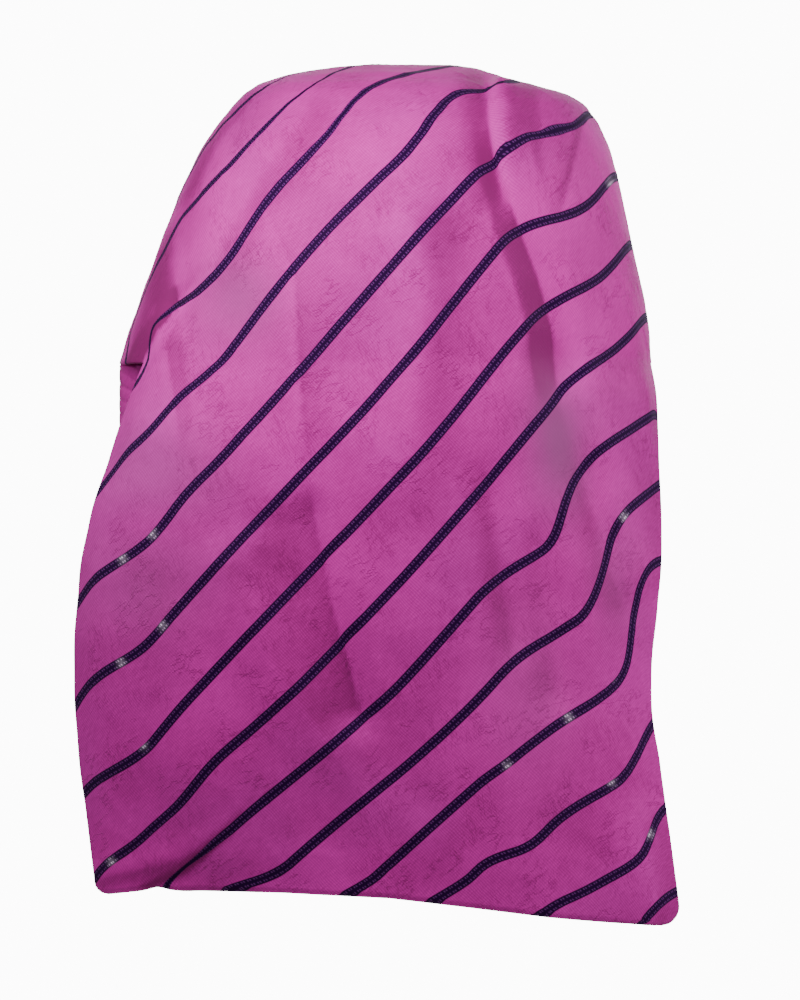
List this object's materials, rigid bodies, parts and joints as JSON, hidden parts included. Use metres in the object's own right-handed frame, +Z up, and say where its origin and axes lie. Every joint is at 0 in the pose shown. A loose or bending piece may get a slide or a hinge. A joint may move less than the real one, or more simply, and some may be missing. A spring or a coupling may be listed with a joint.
{
  "type": "pre-tied bandana",
  "caption": "Head covering of thin satin cloth with woven diagonal stripes: a rounded crown, a long soft-hemmed fall over the neck and side wraps already joined at the nape.",
  "frame": {"origin": "the point where the top of the wearer's head touches the inside of the crown", "axes": "+Z up, +Y the way the wearer faces, +X towards the wearer's right ear"},
  "size_m": [0.2249, 0.2058, 0.3231],
  "materials": {
    "striped_cloth": "orchid satin twill, soft sheen",
    "band_cloth": "matt dark purple elastic cloth"
  },
  "bodies": {
    "root": {"bandana_cloth": "striped_cloth", "left_wrap": "striped_cloth", "right_wrap": "striped_cloth", "nape_band": "band_cloth"}
  },
  "joints": []
}
